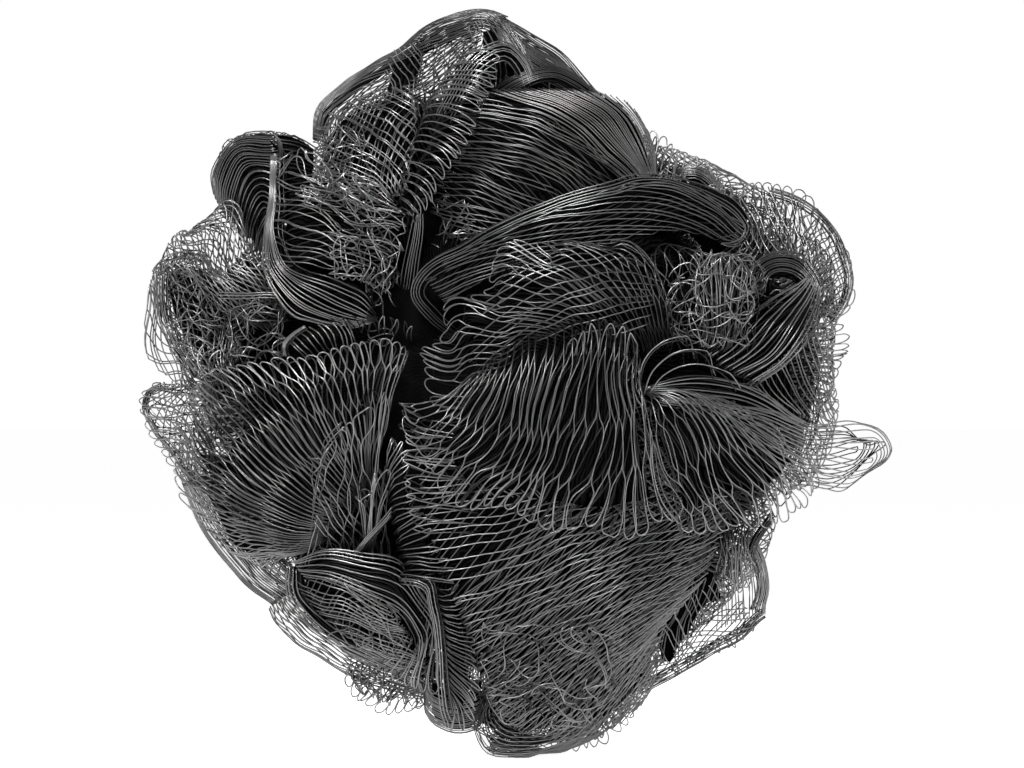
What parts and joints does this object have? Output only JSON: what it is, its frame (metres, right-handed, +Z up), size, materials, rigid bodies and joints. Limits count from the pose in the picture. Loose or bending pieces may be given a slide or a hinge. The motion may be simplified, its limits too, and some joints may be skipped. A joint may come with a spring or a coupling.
{
  "type": "bath sponge",
  "caption": "Ball-shaped bath sponge of black plastic netting, its folds gathered at the middle and tied with a cord.",
  "frame": {"origin": "middle of the bounding box on the surface that the sponge lies on", "axes": "+X to the right and +Y away from a viewer who faces the eye of the gathers, +Z up"},
  "size_m": [0.14, 0.1244, 0.141],
  "materials": {
    "netting": "satin",
    "cord": "matte"
  },
  "bodies": {
    "root": {"back_fold_01": "netting", "back_fold_02": "netting", "back_fold_03": "netting", "back_fold_04": "netting", "back_fold_05": "netting", "back_fold_06": "netting", "back_fold_07": "netting", "back_fold_08": "netting", "back_fold_09": "netting", "back_fold_10": "netting", "back_fold_11": "netting", "back_fold_12": "netting", "back_fold_13": "netting", "back_fold_14": "netting", "back_fold_15": "netting", "binding_cord": "cord", "binding_knot": "cord", "bottom_roll": "netting", "bottom_veil": "netting", "crescent_roll": "netting", "front_shell": "netting", "gathered_waist": "netting", "inner_mesh": "netting", "left_fan": "netting", "left_knob": "netting", "left_low_edge": "netting", "left_low_veil": "netting", "left_mid_mesh": "netting", "left_outer_roll": "netting", "long_fold": "netting", "loose_loops": "netting", "lower_front": "netting", "lower_left_pocket": "netting", "lower_left_veil": "netting", "lower_right_veil": "netting", "right_outer_veil": "netting", "right_roll": "netting", "right_side_mesh": "netting", "right_small_veil": "netting", "right_spike": "netting", "small_loops": "netting", "small_pipe": "netting", "top_left_veil": "netting", "top_ruffle": "netting", "top_tent_left": "netting", "top_tent_right": "netting", "twisted_ruffle": "netting", "upper_fan": "netting", "upper_right_back": "netting", "upper_shell": "netting"}
  },
  "joints": []
}
